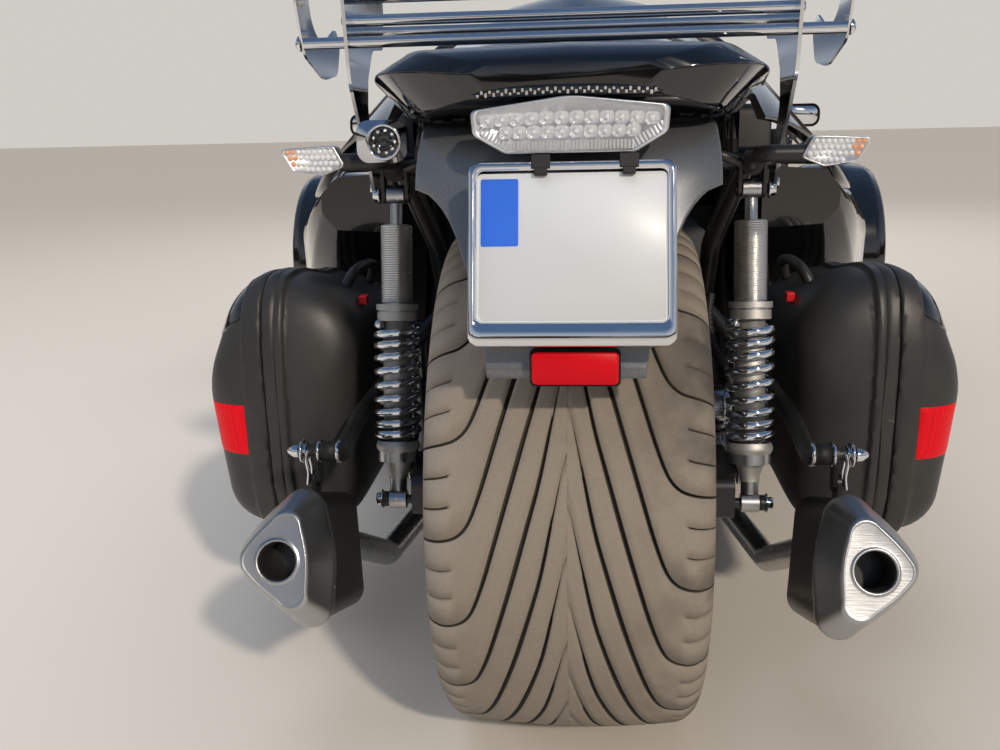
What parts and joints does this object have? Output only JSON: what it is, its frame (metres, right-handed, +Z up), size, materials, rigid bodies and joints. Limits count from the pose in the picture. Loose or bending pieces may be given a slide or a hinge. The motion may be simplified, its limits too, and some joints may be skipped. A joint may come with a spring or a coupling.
{
  "type": "reverse trike",
  "caption": "Two-seat reverse trike with steered front wheels under fenders, one very wide rear tyre, hard panniers, chrome rack and splayed mufflers",
  "frame": {"origin": "on the ground under the centre of the bounding box", "axes": "+Y forward along the longest extent, +Z up, +X to the rider's right"},
  "size_m": [1.976, 3.5246, 1.002],
  "materials": {
    "black_gloss": "gloss black paint",
    "frame_black": "black powder coat",
    "engine_grey": "cast grey",
    "chain_steel": "oiled chain",
    "matte_black": "matte black plastic",
    "seat_black": "black upholstery",
    "smoked_lens": "smoked lens",
    "clear_lens": "clear lens",
    "screen_glass": "tinted screen",
    "fender_grey": "silver-grey metallic",
    "chrome": "polished chrome",
    "plate_white": "blank white plate",
    "reflector_red": "red reflector",
    "muffler_black": "satin black",
    "satin_steel": "satin stainless steel",
    "tyre": "dusty rubber",
    "rim_silver": "cast alloy",
    "cast_alloy": "cast alloy"
  },
  "bodies": {
    "chassis": {"frame_rails": "frame_black", "roll_cage": "frame_black", "rear_subframe": "frame_black", "engine_block": "engine_grey", "drive_chain": "chain_steel", "cockpit_tub": "matte_black", "seats": "seat_black", "dashboard": "matte_black", "rear_deck": "black_gloss", "tail_cowl": "black_gloss", "strip_lamp": "smoked_lens", "side_panels": "black_gloss", "nose_shell": "black_gloss", "head_lamps": "clear_lens", "windscreen": "screen_glass", "mirrors": "black_gloss", "rear_fender": "fender_grey", "plate_holder": "chrome", "number_plate": "plate_white", "rear_reflector": "reflector_red", "tail_lamp": "clear_lens", "indicators": "clear_lens", "camera_pod": "chrome", "rack_plates": "chrome", "rack_tubes": "chrome", "muffler_bodies": "muffler_black", "muffler_caps": "satin_steel", "exhaust_pipes": "satin_steel", "pannier_shells": "matte_black", "wishbones": "frame_black", "swingarm": "frame_black", "shock_bodies": "satin_steel", "shock_springs": "chrome"},
    "steer_right": {"knuckle_right": "cast_alloy", "fender_right": "black_gloss"},
    "steer_left": {"knuckle_left": "cast_alloy", "fender_left": "black_gloss"},
    "wheel_front_right": {"tyre_front_right": "tyre", "rim_front_right": "rim_silver"},
    "wheel_front_left": {"tyre_front_left": "tyre", "rim_front_left": "rim_silver"},
    "wheel_rear": {"tyre_rear": "tyre", "rim_rear": "rim_silver"},
    "steering": {"steering_wheel": "matte_black"},
    "lid_right": {"pannier_lid_right": "matte_black"},
    "lid_left": {"pannier_lid_left": "matte_black"}
  },
  "joints": [
    {"name": "steer_right", "type": "hinge", "parent": "chassis", "child": "steer_right", "pos_m": [0.8, 0.8835, 0.291], "axis": [0, 0, 1], "range_deg": [-30, 30]},
    {"name": "steer_left", "type": "hinge", "parent": "chassis", "child": "steer_left", "pos_m": [-0.8, 0.8835, 0.291], "axis": [0, 0, 1], "range_deg": [-30, 30]},
    {"name": "spin_front_right", "type": "hinge", "parent": "steer_right", "child": "wheel_front_right", "pos_m": [0.865, 0.8835, 0.291], "axis": [1, 0, 0], "continuous": true},
    {"name": "spin_front_left", "type": "hinge", "parent": "steer_left", "child": "wheel_front_left", "pos_m": [-0.865, 0.8835, 0.291], "axis": [1, 0, 0], "continuous": true},
    {"name": "spin_rear", "type": "hinge", "parent": "chassis", "child": "wheel_rear", "pos_m": [0, -1.4025, 0.332], "axis": [1, 0, 0], "continuous": true},
    {"name": "steering_turn", "type": "hinge", "parent": "chassis", "child": "steering", "pos_m": [-0.262, 0.0775, 0.64], "axis": [0, -0.9728, 0.2316], "range_deg": [-120, 120]},
    {"name": "lid_right_hinge", "type": "hinge", "parent": "chassis", "child": "lid_right", "pos_m": [0.403, -1.2115, 0.213], "axis": [0, 1, 0], "range_deg": [0, 80]},
    {"name": "lid_left_hinge", "type": "hinge", "parent": "chassis", "child": "lid_left", "pos_m": [-0.403, -1.2115, 0.213], "axis": [0, -1, 0], "range_deg": [0, 80]}
  ],
  "couplings": [
    {"joint": "steer_left", "follows": "steer_right", "ratio": 1},
    {"joint": "steering_turn", "follows": "steer_right", "ratio": 4}
  ]
}
